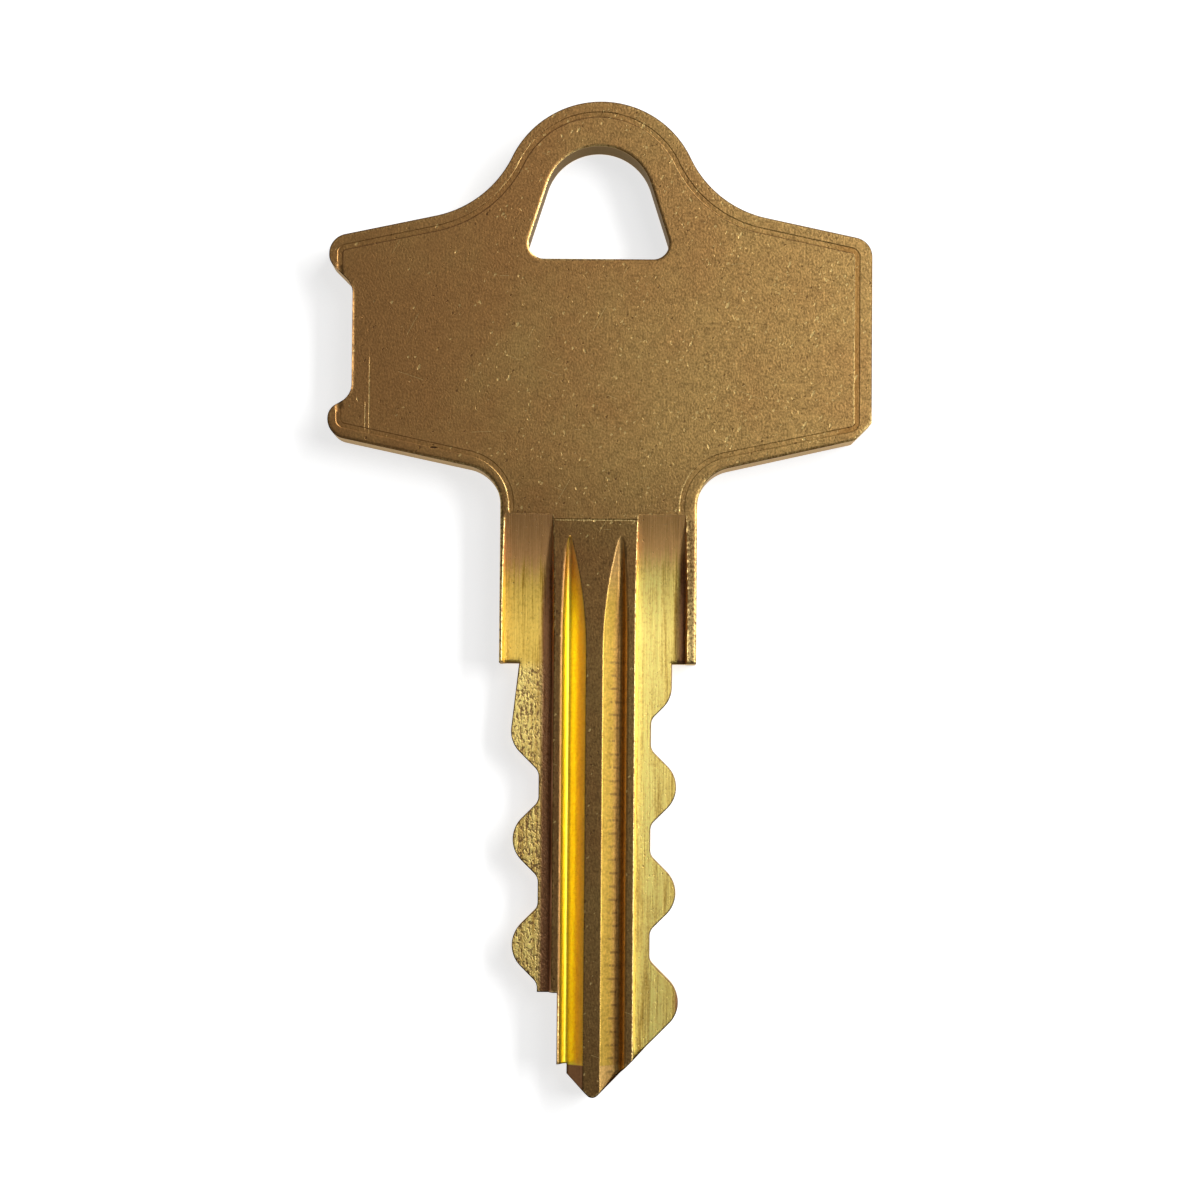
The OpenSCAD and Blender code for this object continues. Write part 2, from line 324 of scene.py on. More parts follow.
milling = {
    "middle": -0.15,  # of the pattern across the blade
    "cutter": 28.0,  # radius
    "landHalf": 2.05,
    "flankOuter": 4.65,
    "flankDepth": 0.6,
    "flankLean": math.tan(math.radians(10)),
    "flankTop": 7.5,
    "ridgeHalf": 0.42,
    "grooveSlope": math.radians(38.6),  # of its wide side, beside the ridge
    "grooveRound": 0.2,  # radius of its bottom
    "grooveOuter": 1.64,  # without the worn rim
    "grooveDepth": 0.63,
    "grooveTop": 6.4,
}
border = {
    "inset": 0.5,
    "width": 0.3,
    "depth": 0.03,
    "side": 0.045,  # width of its sloping sides
    "end": 7.6,
}
wear = {  # width of each worn edge on the face, and its slope
    "land": (0.045, math.tan(math.radians(27))),
    "leftGroove": (0.08, math.tan(math.radians(27))),
    "rightGroove": (0.09, math.tan(math.radians(37))),
    "ridge": (0.02, math.tan(math.radians(25))),
    "rib": (0.045, math.tan(math.radians(27))),
    "burr": (0.05, 0.014),  # width and height of the one left on the right rib
    "blank": (0.14, 0.07),  # width and drop where the punch rolled the neck's edge over
    "upper": 0.04,  # share of that above the neck
    "cut": (0.04, 0.012),  # along the cuts
    "hole": (0.08, math.tan(math.radians(25))),
    "notch": (0.085, 0.034),  # width and height of the burr on its floor's edge
}
landLine = {  # left across the land by the cutter's side
    "y": 7.22,
    "width": 0.05,
    "depth": 0.02,
    "step": 0.006,  # of the land below it
}


def lift(y, depth, top):
    # Distance of the cut's floor from the cutter's axis, and how far past the start of its lift each
    # height lies. It starts where the cutter then leaves the metal at the top.
    radius = milling["cutter"]
    start = top - math.sqrt(radius**2 - (radius - depth) ** 2)
    return radius - depth, np.maximum(y - start, 0)


def liftedDepth(section, y, depth, top):
    # Depth of the cut where the full section is that deep: past the start of the lift each line of
    # the section climbs on its own circle about the cutter's axis.
    reach, past = lift(y, depth, top)
    return np.sqrt(np.maximum((reach + section) ** 2 - past**2, 0)) - reach


def surfacing(y, depth, top):
    # Depth in the full section of the line that comes out of the metal at this height.
    reach, past = lift(y, depth, top)
    return np.minimum(np.sqrt(reach**2 + past**2) - reach, depth)


def grooveSection():
    # The groove's bottom is an arc that touches its wide side. Its steep side goes from the outer
    # edge to where it touches the same arc. Gives the arc's centre and the two touching points.
    slope, radius = milling["grooveSlope"], milling["grooveRound"]
    centre = milling["grooveDepth"] - radius
    x = milling["ridgeHalf"] + (radius + centre * math.cos(slope)) / math.sin(slope)
    rim = np.array([milling["grooveOuter"] - x, -centre])
    far = math.hypot(*rim)
    turn = math.atan2(rim[1], rim[0]) + math.acos(radius / far)
    wide = (x - radius * math.sin(slope), centre + radius * math.cos(slope))
    steep = (x + radius * math.cos(turn), centre + radius * math.sin(turn))
    return (x, centre), wide, steep


grooveArc, grooveWide, grooveSteep = grooveSection()


def grooveDepthAt(across):
    # Full depth of the groove's section: two straight sides and the arc between them. Outside its
    # edges the sides go on above the face.
    m = milling
    side = (across - m["ridgeHalf"]) * math.tan(m["grooveSlope"])
    steep = (m["grooveOuter"] - across) * grooveSteep[1] / (m["grooveOuter"] - grooveSteep[0])
    off = np.clip(across - grooveArc[0], -m["grooveRound"], m["grooveRound"])
    bottom = grooveArc[1] + np.sqrt(m["grooveRound"] ** 2 - off**2)
    section = np.where(across < grooveWide[0], side, np.where(across > grooveSteep[0], steep, bottom))
    return np.maximum(section, -1)


def millingLines(y):
    # Distances from the blade's middle of the lines where its faces meet, at each height.
    m = milling
    rise = surfacing(y, m["flankDepth"], m["flankTop"])
    left = surfacing(y, m["grooveDepth"], m["grooveTop"])
    table = np.linspace(m["ridgeHalf"], m["grooveOuter"], 2000)
    depth = grooveDepthAt(table)
    lowest = depth.argmax()
    return {
        "land": m["landHalf"] + rise * m["flankLean"],
        "landFoot": np.full_like(y, m["landHalf"] + m["flankDepth"] * m["flankLean"]),
        "rib": m["flankOuter"] - rise * m["flankLean"],
        "ribFoot": np.full_like(y, m["flankOuter"] - m["flankDepth"] * m["flankLean"]),
        "groove": np.interp(-left, -depth[lowest:], table[lowest:]),
        "ridge": np.interp(left, depth[:lowest + 1], table[:lowest + 1]),
        "apex": np.full_like(y, table[lowest]),
    }


def worn(off, name, reach=0.1):
    # Depth of the flat worn on an edge: it starts its width inside the edge and runs on past it,
    # until the milled side is deeper.
    width, slope = wear[name]
    return np.where(off > -reach, np.maximum(width - off, 0) * slope, 0)


def rolledOver(off, name):
    # Drop of an edge that a punch pulled down: a parabola that ends level.
    width, drop = wear[name]
    return drop * np.maximum(1 - off / width, 0) ** 2


def milledDepth(x, y):
    # The deepest of the two flanks and the two grooves, with the edges between them worn.
    m = milling
    x = x - m["middle"]
    across = np.abs(x)
    lines = millingLines(y)
    flank = np.minimum(across - m["landHalf"], m["flankOuter"] - across) / m["flankLean"]
    flank = liftedDepth(np.minimum(flank, m["flankDepth"]), y, m["flankDepth"], m["flankTop"])
    groove = liftedDepth(grooveDepthAt(across), y, m["grooveDepth"], m["grooveTop"])
    fade = ramp(y, m["flankTop"], m["flankTop"] - 0.5)
    past = across - lines["rib"]
    edges = np.maximum(worn(lines["land"] - across, "land"), worn(past, "rib") * (x < 0)) * fade
    width, height = wear["burr"]
    burr = height * np.maximum(1 - past / width, 0) * (past >= 0) * (x > 0) * fade
    fade = ramp(y, m["grooveTop"], m["grooveTop"] - 1.5)
    past = across - lines["groove"]
    fine = np.where(x < 0, worn(past, "leftGroove"), worn(past, "rightGroove"))
    fine = np.maximum(fine, worn(lines["ridge"] - across, "ridge"))
    off = (y - landLine["y"]) / landLine["width"]
    line = landLine["step"] * np.clip(0.5 - off / 2, 0, 1)
    line = line + landLine["depth"] * np.maximum(1 - np.abs(off), 0)
    level = np.maximum(np.maximum(flank, groove), 0)
    line = line * (across < lines["land"]) * (level <= 0)
    return np.maximum(level, np.maximum(edges, fine * fade)) + line - burr


def insideLine(points):
    # How far each point lies inside the edges of the struck line, below 0 outside them.
    middle = border["inset"] + border["width"] / 2
    return border["width"] / 2 - np.abs(distance(points, blankedHead) - middle)


def lineFloor(points):
    # 1 on the flat floor of the struck line, falling to 0 over each sloping side.
    return np.clip(insideLine(points) / border["side"], 0, 1)


def notchBurr(x, y, fromEdge):
    # Height of the burr that the notch's cutter left: a slope that falls from the floor's edge,
    # made uneven along it by two waves.
    middle = head["wingRise"] - sideNotch["drop"]
    width, height = wear["notch"]
    near = np.clip((sideNotch["length"] / 2 + 0.1 - np.abs(y - middle)) / 0.5, 0, 1) * (x < 0)
    uneven = np.clip(0.85 + 0.15 * np.sin(4.3 * y) + 0.12 * np.sin(15.7 * y), 0.4, 1)
    return height * uneven * np.maximum(1 - fromEdge / width, 0) * near


def faceDepth(points):
    # How far the face lies below the strip's own at each point.
    x, y = points.T
    fromEdge = distance(points, outline, hole)
    neck = wear["upper"] + (1 - wear["upper"]) * ramp(y, 12.4, 10.9)
    edge = np.where(y > 0, rolledOver(fromEdge, "blank") * neck, rolledOver(fromEdge, "cut"))
    struck = border["depth"] * lineFloor(points) * ramp(y, border["end"], border["end"] + 0.15)
    holeRim = worn(distance(points, hole), "hole")
    return milledDepth(x, y) + struck + np.maximum(edge, holeRim) - notchBurr(x, y, fromEdge)


# Where the points of the mesh lie: along every edge and line, and evenly between them

spread = {
    "outline": 0.12,
    "edgeRows": (0.02, 0.05, 0.09, 0.16),
    "lineRows": 0.12,  # along the blade
    "borderRows": 0.11,
    "fineRows": 5,  # so many times closer near the flanks' tops
    "fineFrom": 0.4,  # below them
    "head": 0.3,
    "offBorder": 0.12,  # between the struck line and the head's net
    "clear": 0.05,  # between the edge rows and the lines of the blade
    "beside": 0.03,  # rows of the flat face kept beside each worn edge
    "wideSide": 12,  # rows on a groove's wide side
    "steepSide": 9,
    "flank": 14,
}


def edgePoints():
    # Rows beside the outline and the hole, without those that fold over at a tight corner.
    rows = []
    for loop in (outline, hole):
        loop = subdivided(loop, spread["outline"])
        for off in spread["edgeRows"]:
            row = loop + off * inwards(loop)
            rows.append(row[distance(row, outline, hole) > 0.95 * off])
    return np.concatenate(rows)


def placesAcross(y, grooveRim):
    # Distances from the blade's middle of one side's rows at each height: first the milled lines with
    # the rows of their worn edges, then the rows spread evenly between them.
    at = millingLines(y)
    beside = spread["beside"]
    width, slope = wear["ridge"]
    over = at["ridge"] + width * slope / (math.tan(milling["grooveSlope"]) - slope)
    kept = [at["ridge"] - width - beside, at["ridge"] - width, over, over + 0.015]
    width, slope = wear[grooveRim]
    under = width * slope / (1 / milling["flankLean"] - slope)
    kept += [at["groove"] - under, at["groove"] + width, at["groove"] + width + beside]
    width = wear["land"][0]
    kept += [at["land"] - width - beside, at["land"] - width, at["land"]]
    kept += [at["landFoot"], at["ribFoot"], at["rib"], at["rib"] + wear["rib"][0]]

    def rows(low, high, shares):
        # At these shares of the way from one line to another.
        return [at[low] + (at[high] - at[low]) * share for share in shares]

    free = [np.full(len(y), 0.02), np.full(len(y), 0.2)]
    free += rows("ridge", "apex", np.linspace(0, 1, spread["wideSide"])[2:])
    free += rows("apex", "groove", np.linspace(0, 1, spread["steepSide"])[1:-1])
    free += [(at["land"] + at["landFoot"]) / 2, at["landFoot"] + 0.05]
    free += rows("landFoot", "ribFoot", np.linspace(0.1, 0.98, spread["flank"]))
    free += [(at["ribFoot"] + at["rib"]) / 2, at["rib"] + 0.18]
    return np.stack(kept + free, axis=1), len(kept)


def bladePoints():
    # Rows across the blade, each with its points on the milled lines and evenly between them. The
    # lines themselves and the rows of their worn edges are kept as sides of the triangles.
    step, top = spread["lineRows"], milling["flankTop"]
    y = np.arange(-blade["length"] + 0.05, top - spread["fineFrom"], step)
    y = np.concatenate([y, np.arange(top - spread["fineFrom"], top + 0.01, step / spread["fineRows"])])
    right, kept = placesAcross(y, "rightGroove")
    left = placesAcross(y, "leftGroove")[0]
    x = np.concatenate([right, -left], axis=1) + milling["middle"]
    points = np.stack([x, np.broadcast_to(y[:, None], x.shape)], axis=-1).reshape(-1, 2)
    nearLine = np.abs(points[:, 1] - landLine["y"]) < landLine["width"] * 2
    nearLine = nearLine & (np.abs(points[:, 0] - milling["middle"]) < milling["landHalf"] - 0.1)
    clear = distance(points, outline) > spread["clear"]
    clear = clear & inside(points, outline) & ~nearLine
    grid = (np.cumsum(clear) - 1).reshape(x.shape)
    whole = clear.reshape(x.shape)
    joined = whole[1:] & whole[:-1] & (np.arange(x.shape[1]) % right.shape[1] < kept)
    sides = np.stack([grid[:-1][joined], grid[1:][joined]], axis=1)
    return points[clear], sides


def landLinePoints():
    # Rows across the land along the line there, and their sides.
    x = np.linspace(-1, 1, 30) * (milling["landHalf"] - 0.14) + milling["middle"]
    y = landLine["y"] + landLine["width"] * np.array([-1.6, -1, 0, 1, 1.6])
    rows = np.stack(np.meshgrid(x, y), axis=-1)
    number = np.arange(len(x) * len(y)).reshape(len(y), len(x))
    sides = np.stack([number[:, :-1].ravel(), number[:, 1:].ravel()], axis=1)
    return rows.reshape(-1, 2), sides


def borderPoints():
    # Rows along the struck line: at both its edges, down its sides and on its floor.
    loop = subdivided(blankedHead, spread["borderRows"])
    start, end, side = border["inset"], border["inset"] + border["width"], border["side"]
    offs = (start - 0.04, start, start + side, (start + end) / 2, end - side, end, end + 0.04)
    rows = np.concatenate([loop + off * inwards(loop) for off in offs])
    gaps = np.repeat(offs, len(loop))
    rows = rows[np.abs(distance(rows, blankedHead) - gaps) < 0.01]
    return rows[rows[:, 1] > border["end"]]


def headPoints():
    # An even triangular net over the head, kept off the edge rows and the struck line.
    step = spread["head"]
    x = np.arange(-head["halfWidth"], head["halfWidth"], step)
    top = head["wingRise"] + head["loopRise"] + head["loopRadius"]
    y = np.arange(milling["flankTop"], top, step * 0.866)  # height of an even triangle
    x, y = np.meshgrid(x, y)
    x = x + np.where(np.arange(len(y)) % 2 == 0, 0, step / 2)[:, None]
    points = np.stack([x, y], axis=-1).reshape(-1, 2)
    return points[insideLine(points) < -spread["offBorder"]]


def ring(numbers):
    # Sides that join the numbered points in a closed ring.
    return np.stack([numbers, np.roll(numbers, -1)], axis=1)


def keyFace():
    # All points inside the outline joined into triangles that keep the outline's own sides.
    edge = subdivided(outline, spread["outline"])
    rim = subdivided(hole, spread["outline"])
    free = np.concatenate([borderPoints(), headPoints()])
    free = free[distance(free, outline, hole) > max(spread["edgeRows"]) + 0.06]
    free = np.concatenate([free, edgePoints()])
    free = free[inside(free, outline) & ~inside(free, hole)]
    milled, milledSides = bladePoints()
    line, lineSides = landLinePoints()
    points = np.concatenate([edge, rim, milled, line, free])
    sides = np.concatenate([
        ring(np.arange(len(edge))),
        ring(np.arange(len(rim)) + len(edge)),
        milledSides + len(edge) + len(rim),
        lineSides + len(edge) + len(rim) + len(milled),
    ])
    made = delaunay_2d_cdt(list(map(Vector, points.tolist())), sides.tolist(), [], 0, 1e-5, False)
    points, triangles = np.array(made[0]), np.array(made[2])
    middle = points[triangles].mean(axis=1)
    return points, triangles[inside(middle, outline) & ~inside(middle, hole)]


def rimSides(triangles):
    # Sides that only one triangle has, each in the direction in which its triangle takes it.
    sides = np.concatenate([triangles[:, [0, 1]], triangles[:, [1, 2]], triangles[:, [2, 0]]])
    count = sides.max() + 1
    code = np.sort(sides, axis=1) @ [count, 1]
    _, first, times = np.unique(code, return_index=True, return_counts=True)
    return sides[first[times == 1]]


def finishOf(points):
    # Which finish a place on the face has: rolled, milled in the flanks, or milled in the grooves.
    x, y = points.T
    across = np.abs(x - milling["middle"])
    at = millingLines(y)
    flank = (across > at["land"]) & (across < at["rib"]) & (y < milling["flankTop"])
    groove = (across > at["ridge"]) & (across < at["groove"]) & (y < milling["grooveTop"])
    return np.where(flank, 1, np.where(groove, 2, 0))


def nearFiled(points):
    # 1 at the filed flat, fading out 2 mm from the sharp corner it was filed from.
    return np.clip(2 - np.linalg.norm(points - wingCorners()[2][:2], axis=1), 0, 1)


def inwardAcross(points, step=0.01):
    # Share across the key of the direction away from the blanked edge: the slope of the distance.
    ahead, behind = (distance(points + [off, 0], blankedHead) for off in (step, -step))
    return (ahead - behind) / (2 * step)


def pastLine(points):
    # Distance past the outer edge of the struck line.
    return distance(points, blankedHead) - border["inset"]


edgeBands = {  # width and strength of what runs along each edge
    "land": (0.08, 0.95),  # these are made bright: worn by handling, and as painted highlight on the hole, the land's line and the struck line
    "rib": (0.08, 0.95),
    "groove": (0.09, 0.95),
    "ridge": (0.03, 0.95),
    "landLine": (0.05, 1),
    "blade": (0.12, 1),  # along the outline below the head
    "head": (0.4, 0.5),  # and on it
    "filed": (0.17, 1),
    "hole": (0.09, 1),
    "line": (0.05, 1),  # edges of the struck line, a painted highlight where they face right
    "cut": (0.06, 1),  # and these are dark, the cut's as painted shade
    "lineDirt": (0.04, 0.62),
}
ribShine = (0.5, 0.9)  # of the right rib's top, at 5 mm and at the stop face
paintedShadeReach = {  # distances from a wall's foot between which the painted shade fades out
    "besideLand": (0.4, 0.62),
    "besideRib": (0.31, 0.45),
    "rightGroove": (0.47, 0.77),
    "leftGroove": (0.12, 0.16),
    "leftShare": 0.8,
}


def band(off, name):
    # The strength on the edge, falling off on both sides: times e to minus the square of off over
    # width.
    width, strength = edgeBands[name]
    return strength * np.exp(-((off / width) ** 2))


def wearAndSheen(points):
    # How bright each place is made: the most of the bands along the edges. Most are wear that
    # handling rubbed bright; the hole's left rim, the line across the land and the struck line's
    # edges where they face right get a painted highlight.
    x, y = points.T
    across = np.abs(x - milling["middle"])
    at = millingLines(y)
    unmilled = finishOf(points) == 0
    fromOutline = distance(points, outline)
    onHead = ramp(y, 10, 12)
    bare = [
        band(fromOutline, "blade") * (1 - onHead),
        band(fromOutline, "head") * onHead,
        band(fromOutline, "filed") * nearFiled(points),
        # painted highlight along the line across the land
        band(y - landLine["y"] + landLine["width"] / 2, "landLine") * (across < milling["landHalf"]),
        # painted highlight on the hole's left rim, which faces right
        band(distance(points, hole), "hole") * (x < 0.8),
        notchBurr(x, y, fromOutline) / wear["notch"][1],
    ]
    for line, top in (("land", "flankTop"), ("rib", "flankTop"),
                      ("groove", "grooveTop"), ("ridge", "grooveTop")):
        bare.append(band(across - at[line], line) * (y < milling[top]) * unmilled)
    onRib = unmilled * (across > at["rib"]) * (y < milling["flankTop"] - 0.2)
    low, high = ribShine
    bare.append(onRib * np.where(x < 0, 1, low + (high - low) * ramp(y, 5, 0)))
    # painted highlight: each edge of the struck line is made bright where it faces right
    inward = inwardAcross(points)
    outer = band(pastLine(points), "line") * np.clip(inward, 0, 1)
    inner = band(pastLine(points) - border["width"], "line") * np.clip(-inward, 0, 1)
    lessOnLeft = 0.45 + 0.55 * ramp(x, -11, -8)
    bare.append((outer + inner) * lessOnLeft * (y > border["end"]))
    return np.max(bare, axis=0)


def shadeAndGrime(points):
    # How dark a place is painted: 1 in the corners at the foot of the walls that face left, a
    # painted shade where their shadow falls, fading out over the flat beside them, also on the
    # grooves' steep sides, and darker in the struck line, most at its right end.
    x, y = points.T
    inLine = lineFloor(points) * (y > border["end"]) * (0.2 + 0.8 * ramp(x, 11.4, 12.4))
    x = x - milling["middle"]
    at = millingLines(y)

    def fades(off, name, part=None):
        # The distance is set against how wide the milling still is where the cutter leaves the metal.
        if part:
            depth = milling[part + "Depth"]
            off = off / np.maximum(1 - surfacing(y, depth, milling[part + "Top"]) / depth, 0.01)
        near, far = paintedShadeReach[name]
        return ramp(off, far, near)

    besideLand = fades(-x - at["landFoot"], "besideLand", "flank") * (x < 0)
    besideRib = fades(at["ribFoot"] - x, "besideRib", "flank") * (x > 0)
    inGroove = fades(at["groove"] - x, "rightGroove", "groove") * (x > 0)
    inGroove += paintedShadeReach["leftShare"] * fades(at["groove"] + x, "leftGroove") * (x < 0)
    milled = np.choose(finishOf(points), [np.zeros_like(x), np.maximum(besideLand, besideRib), inGroove])
    return np.maximum(inLine, milled)


def cutRim(points):
    # The dark rim beside a cut, a painted shade where the cut wall is seen dark, and a darker line
    # along the inner edge of the struck line where it faces up the key.
    y = points[:, 1]
    rim = band(distance(points, outline), "cut") * np.where(y < 0.05, 1, 0.75 * ramp(y, 8, 9.5))
    inner = band(pastLine(points) - border["width"], "lineDirt") * (y > head["wingRise"])
    return np.maximum(rim * (1 - nearFiled(points)), inner)


wall = {
    "levels": (0.93, 0.5, 0.07),  # rings between the front and the back edge
    "wearAndSheen": 0.5,  # share of the edge's
    "inHole": 0.92,  # painted shade on the hole's wall
}


def keyMesh():
    # Front face, back face and walls as one closed shell. Both faces share the same triangles, and
    # the walls go from rim to rim over the rings between them.
    flat, triangles = keyFace()
    used, triangles = np.unique(triangles, return_inverse=True)
    flat, triangles = flat[used], triangles.reshape(-1, 3)
    depth = faceDepth(flat)
    place = flat + [0, stopY]
    front = np.column_stack([place, thickness - depth])
    back = np.column_stack([place, np.maximum(depth, 0)])  # the burrs stand on the front alone
    sides = rimSides(triangles)
    rim = np.unique(sides)
    count = len(flat)
    rings = [back[rim] + (front[rim] - back[rim]) * level for level in wall["levels"]]
    ringOf = np.searchsorted(rim, np.arange(count))
    layers = [2 * count + k * len(rim) + ringOf for k in range(len(rings))]
    layers = [np.arange(count), *layers, np.arange(count) + count]
    a, b = sides.T
    quads = np.concatenate([np.stack([up[b], up[a], down[a], down[b]], axis=1)
                            for up, down in zip(layers, layers[1:])])
    points = np.concatenate([front, back, *rings])
    behind = triangles[:, ::-1] + count
    mesh = bpy.data.meshes.new("keyBody")
    mesh.from_pydata((points * mm).tolist(), [], triangles.tolist() + behind.tolist() + quads.tolist())

    faceFinish = finishOf(flat[triangles].mean(axis=1))
    wallFinish = np.where(flat[a][:, 1] + flat[b][:, 1] > 0, 3, 4)
    finishes = np.concatenate([faceFinish, faceFinish, np.tile(wallFinish, len(layers) - 1)])
    mesh.polygons.foreach_set("material_index", finishes.astype(np.int32))
    bare, shadeAndDirt, dark = wearAndSheen(flat), shadeAndGrime(flat), cutRim(flat)
    # painted shade on the hole's wall
    inHole = (distance(flat[rim], hole) < 0.01) * wall["inHole"]
    for name, face, onWalls in (("wearAndSheen", bare, wall["wearAndSheen"] * bare[rim]),
                                ("shadeAndGrime", shadeAndDirt, inHole), ("cutRim", dark, dark[rim])):
        values = np.concatenate([face, face] + [onWalls] * len(rings)).astype(np.float32)
        mesh.attributes.new(name, "FLOAT", "POINT").data.foreach_set("value", values)
    corners = np.concatenate([triangles.ravel(), behind.ravel(), quads.ravel()])
    uv = points[corners, :2] * 0.02 + 0.5
    wallCorners = slice(len(triangles) * 6, None)
    uv[wallCorners, 1] = points[corners[wallCorners], 2] * 0.02
    uvLayer = mesh.uv_layers.new(name="acrossAndAlong")
    uvLayer.uv.foreach_set("vector", uv.ravel().astype(np.float32))
    return mesh


mesh = keyMesh()
keyBody = bpy.data.objects.new("keyBody", mesh)
bpy.context.collection.objects.link(keyBody)
mesh.shade_smooth()
mesh.set_sharp_from_angle(angle=math.radians(24))
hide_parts("key")
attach(keyBody, "root")
print("key mesh", len(mesh.polygons), "faces")


# Nodes for the finishes. Sizes in them are in millimetres.

class Value:
    # What a node puts out. Its sums, products and comparisons are Math nodes, and a name in
    # brackets gives another output of the same node.
    def __init__(self, socket):
        self.socket = socket

    def __getitem__(self, label):
        return Value(self.socket.node.outputs[label])

    __add__ = lambda self, other: calc("ADD", self, other)
    __sub__ = lambda self, other: calc("SUBTRACT", self, other)
    __rsub__ = lambda self, other: calc("SUBTRACT", other, self)
    __mul__ = lambda self, other: calc("MULTIPLY", self, other)
    __truediv__ = lambda self, other: calc("DIVIDE", self, other)
    __rtruediv__ = lambda self, other: calc("DIVIDE", other, self)
    __gt__ = lambda self, other: calc("GREATER_THAN", self, other)
    __lt__ = lambda self, other: calc("LESS_THAN", self, other)


def feed(socket, value):
    # Links the socket to a node's value, or sets it to a plain number, vector or colour.
    if isinstance(value, Value):
        socket.id_data.links.new(value.socket, socket)
    else:
        socket.default_value = value


def node(kind, inputs=None, tree=None, **settings):
    # A node with its settings and inputs, in the tree that the values on its inputs come from.
    inputs = inputs or {}
    for value in inputs.values():
        if isinstance(value, Value):
            tree = value.socket.id_data
    made = tree.nodes.new("ShaderNode" + kind)
    for label, value in settings.items():
        setattr(made, label, value)
    for label, value in inputs.items():
        feed(made.inputs[label], value)
    return Value(made.outputs[0])


def calc(operation, *values):
    # One sum on one or two values.
    return node("Math", dict(enumerate(values)), operation=operation)


def largest(most, *others):
    # The largest of any number of values.
    for value in others:
        most = calc("MAXIMUM", most, value)
    return most


def scaled(vector, scale):
    # The vector with each part multiplied by its own number.
    return node("Mapping", {"Vector": vector, "Scale": scale})


def between(value, low, high, start=0.0, end=1.0):
    # Goes smoothly from start to end while the value goes from low to high.
    inputs = {"Value": value, "From Min": low, "From Max": high, "To Min": start, "To Max": end}
    return node("MapRange", inputs, interpolation_type="SMOOTHSTEP")


def noise(vector, scale, detail=2.0, roughness=0.5, distortion=0.0):
    # Cloudy noise with that many waves for each millimetre of the vector.
    return node("TexNoise", {"Vector": vector, "Scale": scale, "Detail": detail,
                             "Roughness": roughness, "Distortion": distortion})


patterns = {  # waves for each millimetre across, along and through the key
    "fineLines": (14, 0.35, 1),
    "broadLines": (4, 0.12, 1),
    "digs": (9.5, 5.0, 1),
    "toothMarks": (7, 1.6, 1),
    "wallLines": (24, 24, 0.5),
}


def metalGrain(source):
    # Fine uneven shade of rolled or worn metal: noise at the grain size, with a coarser one over it,
    # about the middle of both.
    finer = 1.0 / source["Size"]
    fine = noise(source["Vector"], finer, 3.0, 0.6)
    broad = noise(source["Vector"], finer * 0.27, 4.0, 0.6)
    shade = (fine + broad * 0.5 - 0.75) * source["Amount"] + 1.0
    return {"Shade": shade, "Height": fine}


def brushLines(source):
    # Lines left by a cutter or a wheel, along the vector's second part: noise stretched that way.
    fine = noise(scaled(source["Vector"], patterns["fineLines"]), 1.0, 3.0, 0.65)
    both = fine + noise(scaled(source["Vector"], patterns["broadLines"]), 1.0)
    shade = calc("MINIMUM", (both - 1.01) * source["Amount"] + 1.0, 1.06)
    return {"Shade": shade, "Height": both}


handling = {
    # turn, cell and size of each layer of nicks, the last of them also that of the pits
    "nicks": ((-0.5, (0.3, 0.85, 1), 0.24), (0.4, (0.28, 0.7, 1), 0.2), (-0.7, (0.15, 0.26, 1), 0.36)),
    "pits": 0.15,  # share of the last layer's cells that hold one
    "scratches": ((0.5, 3.0), (1.9, 11.0), (1.5, 23.0)),  # turn and place of each set
    "scratchWidth": 0.00007,  # share of a wave
}


def handlingNicks(source):
    # Small bright nicks, dark pits and fine scratches from handling. A nick is a stretched cell of
    # a Voronoi pattern, near its point, in the share of cells that its random colour picks.
    where = source["Vector"]
    wobble = scaled(noise(where, 7.0)["Color"], (0.16, 0.16, 0))
    bent = node("VectorMath", {0: where, 1: wobble}, operation="ADD")
    swarms = between(noise(where, 0.35), 0.36, 0.64, 0.3, 1.7)
    share = source["Share"] * swarms
    layers = []
    for turn, cell, size in handling["nicks"]:
        turned = node("Mapping", {"Vector": bent, "Rotation": (0, 0, turn), "Scale": cell},
                      vector_type="TEXTURE")
        cells = node("TexVoronoi", {"Vector": turned, "Scale": 1.0}, feature="F1")
        pick = node("SeparateColor", {"Color": cells["Color"]})
        near = between(pick[1] * size - cells["Distance"], 0.0, 0.05)
        layers.append((near, pick[0]))
    nicks = [near * (pick < share) for near, pick in layers]
    near, pick = layers[-1]
    pits = near * (pick > 1 - handling["pits"])
    scratches = []
    for turn, offset in handling["scratches"]:
        turned = node("Mapping", {"Vector": where, "Rotation": (0, 0, turn), "Location": (offset, 0, 0)})
        wave = node("TexWave", {"Vector": turned, "Scale": 0.12, "Distortion": 2.0, "Detail": 1.0,
                                "Detail Scale": 0.3})
        thin = wave["Fac"] > 1 - handling["scratchWidth"]
        scratches.append(thin * (noise(turned, 0.45) > 0.64))
    return {"Nick": largest(*nicks), "Pit": pits, "Scratch": largest(*scratches)}


def tornDigs(source):
    # Dark short digs torn along the cutter's travel: stretched noise above a level.
    torn = noise(scaled(source["Vector"], patterns["digs"]), 1.0, 3.0, 0.6, 0.35)
    high = source["Level"] + 0.16
    return {"Dig": node("MapRange", {"Value": torn, "From Min": source["Level"], "From Max": high})}


